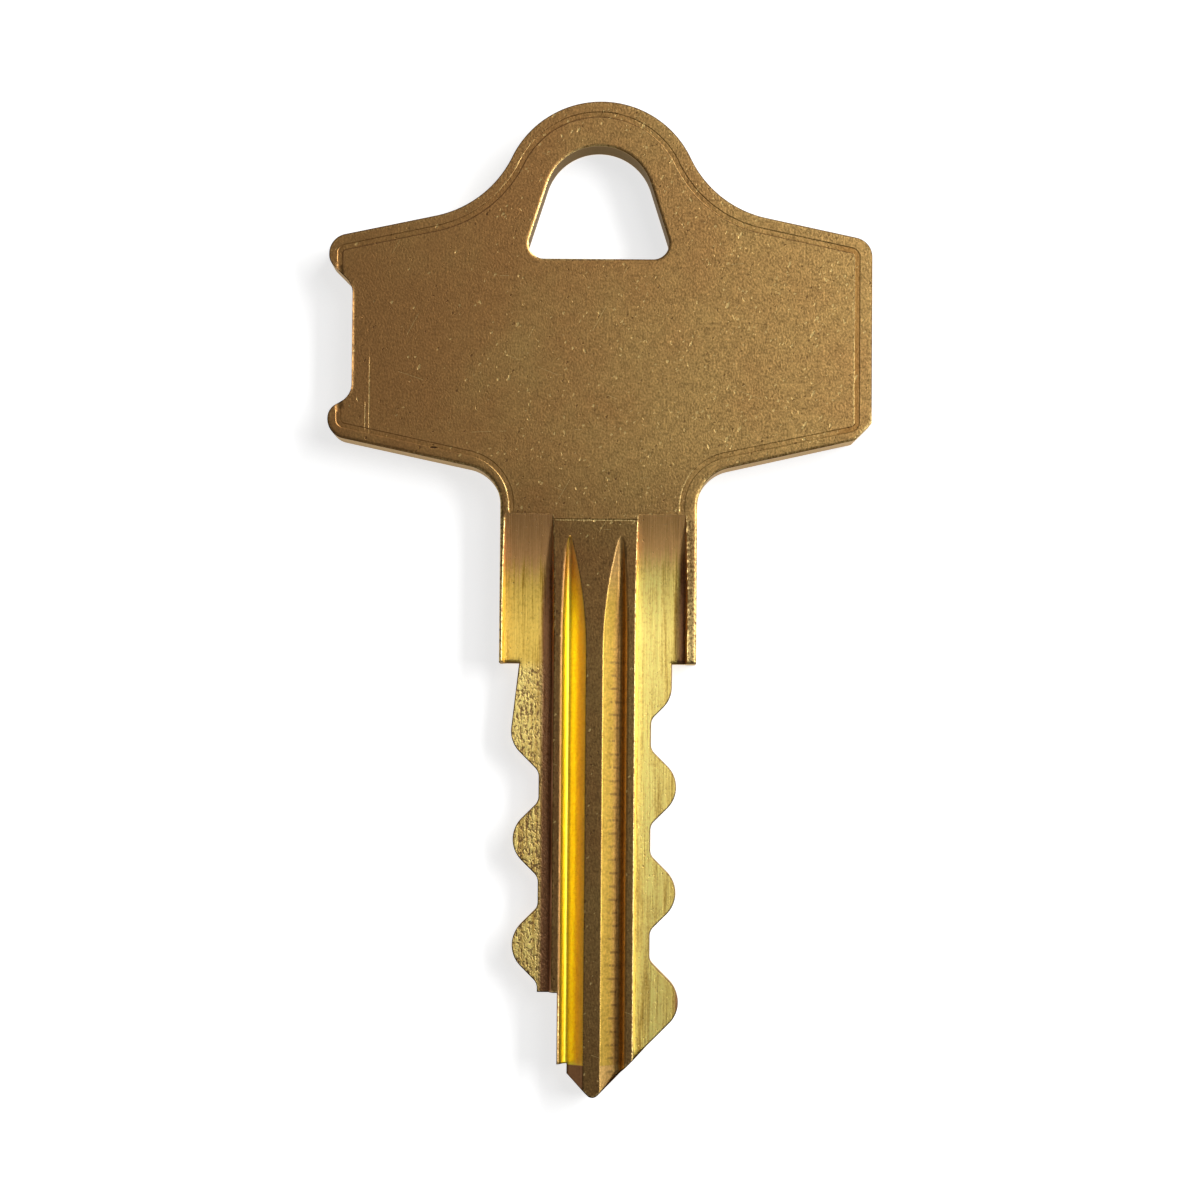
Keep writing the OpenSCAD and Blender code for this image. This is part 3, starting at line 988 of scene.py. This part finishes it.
def group(name, inputs, make):
    # A node group that the finishes share, with the outputs that make works out of its inputs.
    tree = bpy.data.node_groups.new(name, "ShaderNodeTree")
    for label, value in inputs.items():
        kind = "NodeSocketVector" if value is None else "NodeSocketFloat"
        socket = tree.interface.new_socket(label, in_out="INPUT", socket_type=kind)
        if value is not None:
            socket.default_value = value
    made = make(Value(tree.nodes.new("NodeGroupInput").outputs[0]))
    for label in made:
        tree.interface.new_socket(label, in_out="OUTPUT", socket_type="NodeSocketFloat")
    result = tree.nodes.new("NodeGroupOutput").inputs
    for label, value in made.items():
        feed(result[label], value)
    return tree


groups = {
    "grain": group("metalGrain", {"Vector": None, "Size": 0.15, "Amount": 0.2}, metalGrain),
    "brush": group("brushLines", {"Vector": None, "Amount": 0.4}, brushLines),
    "nicks": group("nicks", {"Vector": None, "Share": 0.3}, handlingNicks),
    "digs": group("digs", {"Vector": None, "Level": 0.6}, tornDigs),
}


def use(name, **inputs):
    # One of the groups, with this material's own values on its inputs.
    return node("Group", inputs, node_tree=groups[name])


def metal(name, settings):
    # The key's next material. Gives its node tree and the place on the key in millimetres.
    material = bpy.data.materials.new(name)
    material.use_nodes = True
    mesh.materials.append(material)
    tree = material.node_tree
    shader = tree.nodes["Principled BSDF"].inputs
    shader["Metallic"].default_value = 1
    shader["Roughness"].default_value = settings["roughness"]
    if "edgeTint" in settings:
        shader["Specular Tint"].default_value = settings["edgeTint"]
    if "anisotropic" in settings:
        shader["Anisotropic"].default_value = settings["anisotropic"]
        tangent = node("Tangent", tree=tree, direction_type="UV_MAP", uv_map="acrossAndAlong")
        feed(shader["Tangent"], tangent)
    return tree, scaled(node("TexCoord", tree=tree)["Object"], (1 / mm, 1 / mm, 1 / mm))


def acrossAlong(where):
    # Distances across the key, and along it from the stop faces.
    place = node("SeparateXYZ", {0: where})
    return place["X"], place["Y"] - stopY


def attribute(tree, name):
    return node("Attribute", tree=tree, attribute_name=name)["Fac"]


def mixed(factor, low, high, blend="MIX"):
    # The low colour where the factor is 0, and the high one where it is 1.
    return node("Mix", {0: factor, 6: low, 7: high}, data_type="RGBA", blend_type=blend)[2]


def shaded(colour, shade, warmth=1.0):
    # The colour made lighter or darker by the shade, and redder where it is darker.
    green = calc("MINIMUM", calc("POWER", shade, warmth), shade)
    blue = calc("MINIMUM", calc("POWER", green, warmth), green)
    return mixed(1.0, colour, node("CombineColor", {0: shade, 1: green, 2: blue}), "MULTIPLY")


def rimmed(tree, colour):
    # Painted shade: darker along the thin rim of an edge.
    return mixed(between(attribute(tree, "cutRim"), 0.2, 0.8), colour, milled["rim"])


def finish(tree, colour, height, settings):
    # Gives the shader its colour and its bumps.
    shader = tree.nodes["Principled BSDF"].inputs
    feed(shader["Base Color"], colour)
    feed(shader["Normal"], node("Bump", {"Height": height, "Distance": settings["bump"] * mm}))


rolled = {
    "dull": (0.46, 0.235, 0.08, 1),
    "clean": (0.51, 0.315, 0.107, 1),
    "bare": (0.86, 0.62, 0.24, 1),
    "shadeAndGrime": (0.42, 0.2, 0.05, 1),  # in the struck line
    "pits": (0.1, 0.05, 0.02, 1),
    "roughness": 0.42,
    "bump": 0.011,
    "landTone": 0.72,  # how light the land is beside the head
    "neckTone": 0.86,
    "grain": 0.1,  # size
    "uneven": (1.05, 2.24),  # grain of the left and the right wing
    "nicks": 0.3,  # share of the pattern's cells that hold one
    "leftNicks": 0.045,  # the same at the left end
    "landNicks": 0.4,  # share of them that the land has
}
marks = {  # across, along, half width, half length
    "scratches": ((-11.6, 10.1, 0.026, 2.0), (-11.8, 9.0, 0.022, 0.75)),
    "dents": ((10.3, 8.0, 0.085, 0.07), (-0.2, 3.8, 0.07, 0.06), (2.1, 4.05, 0.05, 0.1)),
    "pits": ((-8.35, 7.45, 0.2, 0.055), (-11.75, 7.9, 0.04, 0.1)),
}


def spots(where, name):
    # 1 inside each ellipse of the name and 0 outside them, on the front face alone.
    place = node("SeparateXYZ", {0: where})
    found = []
    for across, along, halfWidth, halfLength in marks[name]:
        x = (place["X"] - across) / halfWidth
        y = (place["Y"] - along) / halfLength
        found.append(between(x * x + y * y, 0.5, 1.2, 1.0, 0.0))
    return largest(*found) * (place["Z"] > thickness / 2)


def rolledBrass():
    # The strip's own face: tarnished, grained and nicked, rubbed bright along its edges, with a
    # painted highlight on some of them.
    tree, where = metal("rolledBrass", rolled)
    x, y = acrossAlong(where)
    uneven = between(x, -10.0, 10.0, *rolled["uneven"])
    grain = use("grain", Vector=scaled(where, (1, 0.75, 1)), Size=rolled["grain"], Amount=uneven)
    # the left wing and the land have fewer nicks
    share = between(x, -12.5, 4.0, rolled["leftNicks"], rolled["nicks"])
    nicks = use("nicks", Vector=where, Share=share * between(y, 6.5, 7.5, rolled["landNicks"], 1.0))
    # tarnish in patches, and a painted light that makes the face lighter towards the right
    cleanAndLit = noise(where, 0.11, 4.0, 0.6) + x * 0.012
    colour = mixed(between(cleanAndLit, 0.3, 0.72), rolled["dull"], rolled["clean"])
    top = landLine["y"]
    tone = between(y, top - 0.03, top + 0.03, rolled["landTone"], 1.0)
    tone = tone * between(y, top + 1.0, top + 4.0, rolled["neckTone"], 1.0)
    colour = shaded(colour, grain["Shade"] * tone)
    # darker in the struck line
    colour = mixed(attribute(tree, "shadeAndGrime") * 0.6, colour, rolled["shadeAndGrime"])
    # the grain breaks up the rubbed edges with their painted highlights, and the scratches
    ragged = attribute(tree, "wearAndSheen") * between(grain["Height"], 0.35, 0.6, 0.42, 1.0)
    hairlines = spots(where, "scratches") * between(grain["Height"], 0.35, 0.55, 0.25, 0.9)
    nicked = largest(nicks["Nick"] * 0.72, nicks["Scratch"], hairlines, spots(where, "dents"))
    colour = mixed(largest(between(ragged, 0.3, 0.9), nicked), colour, rolled["bare"])
    pits = largest(nicks["Pit"] * 0.6, spots(where, "pits"))
    colour = mixed(pits, colour, rolled["pits"])
    finish(tree, rimmed(tree, colour), grain["Height"] - largest(pits, nicked), rolled)


milled = {
    "colour": (0.87, 0.6, 0.125, 1),
    "besideLand": (1.0, 0.8, 0.24, 1),  # painted reflection of the land's wall, on the right flank
    "leftBelow": (1.0, 0.76, 0.24, 1),  # on the left flank below the stop
    "runOut": ((0.74, 0.4, 0.15, 1), (0.88, 0.5, 0.18, 1)),  # at the top, left and right
    "runOutFrom": (3.7, 5.6),  # heights between which the one turns into the other
    "rightLater": 0.5,  # how much higher on the right flank
    "streaks": 1.6,  # how far the cutter's lines carry it up and down
    # painted shade at the foot of the walls that face left
    "shadeAndGrime": (0.57, 0.275, 0.125, 1),
    "rim": (0.14, 0.07, 0.03, 1),  # painted shade: thin and dark, where an edge was cut
    "digs": (0.22, 0.12, 0.05, 1),
    "roughness": 0.42,
    "anisotropic": 0.75,
    "lines": 1.4,
    "grain": 0.95,
    "torn": 0.65,  # the lower, the more digs
    "tornBelow": (0.2, 0.03),  # how much lower on the cut blade, left and right
    "bump": 0.01,
}


def milledBrass():
    # The flanks: bright lines along the cutter's travel, brown where it ran out, torn digs, a painted
    # shade beside the walls that face left and a painted reflection beside the land on the right flank.
    tree, where = metal("milledBrass", milled)
    x, y = acrossAlong(where)
    onRight = x > 0.0
    below = between(y, -0.5, 0.3, 1.0, 0.0)
    lines = use("brush", Vector=where, Amount=milled["lines"])
    grain = use("grain", Vector=scaled(where, (1, 0.6, 1)), Size=0.1, Amount=milled["grain"])
    along = y + (lines["Height"] - 1.0) * milled["streaks"]
    along = along - between(x, -0.5, 0.5, 0.0, milled["rightLater"])
    brown = between(along, *milled["runOutFrom"])
    # painted reflection: the right flank lighter beside the land's wall, fading out towards the rib
    bright = between(x, 2.6, 5.6, 1.0, 0.0) * onRight
    colour = mixed(bright, milled["colour"], milled["besideLand"])
    colour = mixed(below * (1.0 - onRight), colour, milled["leftBelow"])
    # painted shade beside the walls that face left, where their shadow falls
    colour = mixed(attribute(tree, "shadeAndGrime"), colour, milled["shadeAndGrime"])
    colour = mixed(brown, colour, mixed(onRight, *milled["runOut"]))
    fainter = between(brown, 0.0, 1.0, 1.0, 0.3)
    shade = (lines["Shade"] * grain["Shade"] - 1.0) * fainter + 1.0
    colour = shaded(colour, calc("MINIMUM", shade, 1.07), 1.35)
    # the cut blade's left side is torn most
    level = milled["torn"] - below * between(x, -0.5, 0.5, *milled["tornBelow"])
    dig = use("digs", Vector=where, Level=level)
    # the digs show less where shade is painted
    dark = dig * (0.95 - attribute(tree, "shadeAndGrime") * 0.8)
    colour = mixed(dark, colour, milled["digs"])
    finish(tree, rimmed(tree, colour), lines["Height"] - dig, milled)


grooved = {
    "colour": (1.0, 0.75, 0.06, 1),
    # painted shade: redder towards the ridge on the left groove's wide side
    "besideRidge": (1.0, 0.55, 0.07, 1),
    "right": (0.69, 0.45, 0.08, 1),  # in the right groove: a darker copy of the left groove's colour, as painted shade
    # each of these left and right: upper tips, steep sides (painted shade), facets of the point
    # (a painted shade on the left one, which faces away from the light, a painted light on the right)
    "tips": ((1.0, 0.47, 0.1, 1), (0.66, 0.4, 0.14, 1)),
    "grimes": ((0.36, 0.24, 0.03, 1), (0.62, 0.34, 0.1, 1)),
    "point": ((0.3, 0.14, 0.055, 1), (0.73, 0.45, 0.14, 1)),
    "pointFrom": -20.1,
    "roughness": 0.385,
    "anisotropic": 0.6,
    "lines": 0.3,
    "grain": (0.5, 1.1),  # left and right
    "chatter": 0.66,  # distance between the marks of the cutter's teeth
    "chatterDark": 0.6,
    "bump": 0.006,
}


def groovedBrass():
    # The grooves beside the ridge, with their tips, their steep sides and the facets of the point,
    # and with painted light and shade that set the left and the right groove apart.
    tree, where = metal("groovedBrass", grooved)
    x, y = acrossAlong(where)
    onRight = x > 0.0
    lines = use("brush", Vector=where, Amount=grooved["lines"])
    grain = use("grain", Vector=where, Size=0.14, Amount=between(onRight, 0.0, 1.0, *grooved["grain"]))
    # painted shade: redder towards the ridge in the left groove, and the right groove darker
    colour = mixed(between(x, -1.15, -0.85), grooved["colour"], grooved["besideRidge"])
    colour = mixed(onRight, colour, grooved["right"])
    end = grooved["pointFrom"]
    # left and right tips, steep sides with their painted shade, point's facets painted dark on the left
    # and light on the right
    for factor, both in ((between(y, 2.5, 5.5), "tips"), (attribute(tree, "shadeAndGrime"), "grimes"),
                         (between(y, end - 0.03, end + 0.03, 1.0, 0.0), "point")):
        colour = mixed(factor, colour, mixed(onRight, *grooved[both]))
    colour = shaded(shaded(colour, grain["Shade"], 1.2), lines["Shade"])
    # the teeth left short marks across the right groove's wide side
    wave = node("TexWave", {"Vector": where, "Scale": 0.314 / grooved["chatter"], "Distortion": 0.5,
                            "Detail": 2.0, "Detail Scale": 3.0}, bands_direction="Y")
    chatter = between(wave["Fac"], 0.03, 0.12, 1.0, 0.0)
    chatter = chatter * between(noise(scaled(where, patterns["toothMarks"]), 1.0), 0.38, 0.5)
    chatter = chatter * between(x, 0.5, 0.75) * between(x, 1.0, 1.25, 1.0, 0.15)
    chatter = chatter * between(y, 0.0, 1.5, grooved["chatterDark"], 0.0)
    colour = mixed(chatter, colour, milled["digs"])
    finish(tree, rimmed(tree, colour), lines["Height"], grooved)


blanked = {
    "colour": (0.52, 0.36, 0.18, 1),
    # painted shade, on the hole's wall
    "shadeAndGrime": (0.1, 0.065, 0.04, 1),
    "edgeTint": (0.7, 0.58, 0.42, 1),  # at a grazing look
    "roughness": 0.4,
    "bump": 0.006,
}
sawn = {
    "colour": (0.48, 0.31, 0.11, 1),
    "shadeAndGrime": (0.2, 0.12, 0.05, 1),
    "edgeTint": (0.8, 0.68, 0.45, 1),
    "roughness": 0.4,
    "bump": 0.006,
}


def edgeBrass(name, settings):
    # The key's walls, with fine lines through its thickness, and a painted shade on the hole's wall.
    tree, where = metal(name, settings)
    lines = noise(scaled(where, patterns["wallLines"]), 1.0, 3.0)
    colour = mixed(attribute(tree, "shadeAndGrime"), settings["colour"], settings["shadeAndGrime"])
    finish(tree, shaded(colour, between(lines, 0.3, 0.7, 0.9, 1.08)), lines, settings)


rolledBrass()
milledBrass()
groovedBrass()
edgeBrass("blankedEdge", blanked)
edgeBrass("cutEdge", sawn)
print("finishes ready")


# Floor, light and camera

studio = {
    "floorSize": 4.0,
    "floorGap": 0.02,  # under the key
    "floorColour": (0.52, 0.52, 0.52, 1),
    "floorGlow": 0.73,  # what the floor's own white adds where it is seen
    "roomWalls": 0.45,  # brightness near the horizon
    "roomCeiling": 0.05,  # and overhead
    "stripHeight": math.radians(44),
    "stripAway": 0.4,
    "stripAlong": 0.2,
    "stripSize": (0.5, 0.09),
    "stripPower": 2.0,
    "softbox": (0.19, 0.13, 0.38),
    "softboxSize": (0.22, 0.22),
    "softboxPower": 0.42,
    "sensor": 36,
    "cameraHeight": 148.0,  # above the key's front face
    "frameWidth": 60.2,  # seen across the picture at the front face
    "middle": (0.1, -0.18),  # of the picture, on the key
    "foot": (0.6, -8.44),  # point of the key right under the camera
    "shift": 0.04,
    "roll": math.radians(0.45),
}


def makeFloor():
    bpy.ops.mesh.primitive_plane_add(size=studio["floorSize"], location=(0, 0, -studio["floorGap"] * mm))
    floor = bpy.context.object
    floor.name = "floor"
    material = bpy.data.materials.new("paperWhite")
    material.use_nodes = True
    tree = material.node_tree
    paper = tree.nodes["Principled BSDF"].inputs
    paper["Base Color"].default_value = studio["floorColour"]
    paper["Roughness"].default_value = 0.9
    paper["Specular IOR Level"].default_value = 0.1
    light = node("LightPath", tree=tree)
    seen = largest(*(light[f"Is {ray} Ray"] for ray in ("Camera", "Glossy", "Transmission")))
    paper["Emission Color"].default_value = (1, 1, 1, 1)
    feed(paper["Emission Strength"], seen * studio["floorGlow"])
    floor.data.materials.append(material)


def areaLight(name, place, target, size, power):
    light = bpy.data.lights.new(name, "AREA")
    light.shape = "RECTANGLE"
    light.size, light.size_y = size
    light.energy = power
    lamp = bpy.data.objects.new(name, light)
    lamp.location = place
    lamp.rotation_euler = (Vector(target) - Vector(place)).to_track_quat("-Z", "Y").to_euler()
    bpy.context.collection.objects.link(lamp)


def makeLight():
    world = bpy.data.worlds.new("studio")
    world.use_nodes = True
    tree = world.node_tree
    background = tree.nodes["Background"].inputs
    background["Color"].default_value = (1, 1, 1, 1)
    up = node("SeparateXYZ", {0: node("TexCoord", tree=tree)["Generated"]})["Z"]
    feed(background["Strength"], between(up, 0.15, 0.55, studio["roomWalls"], studio["roomCeiling"]))
    bpy.context.scene.world = world
    height, away, along = studio["stripHeight"], studio["stripAway"], studio["stripAlong"]
    strip = (away * math.cos(height), along, away * math.sin(height))
    areaLight("strip", strip, (0, along, 0), studio["stripSize"], studio["stripPower"])
    areaLight("softbox", studio["softbox"], (0, 0.01, 0), studio["softboxSize"], studio["softboxPower"])


def makeCamera():
    camera = bpy.data.objects.new("camera", bpy.data.cameras.new("camera"))
    bpy.context.collection.objects.link(camera)
    lens = camera.data
    lens.sensor_width = studio["sensor"]
    lens.clip_start = 0.01
    middle = np.array([*studio["middle"], thickness])
    foot = np.array([*studio["foot"], thickness])
    turn = studio["roll"]
    up = np.array([-math.sin(turn), math.cos(turn), 0])
    eye = foot + [0, 0, studio["cameraHeight"]]
    # the shift moves the view up the key, and the tilt does what it leaves
    aim = middle - up * studio["shift"] * studio["frameWidth"]
    towards = unit(aim - eye)
    right = unit(np.cross(towards, up))
    across = np.stack([right, np.cross(right, towards), -towards], axis=1)
    lens.shift_y = studio["shift"]
    lens.lens = studio["sensor"] * np.linalg.norm(aim - eye) / studio["frameWidth"]
    rows = [[*row, place] for row, place in zip(across.tolist(), eye * mm)]
    camera.matrix_world = Matrix(rows + [[0, 0, 0, 1]])
    bpy.context.scene.camera = camera


makeFloor()
makeLight()
makeCamera()
bpy.context.scene.view_settings.view_transform = "Standard"
print("studio ready")
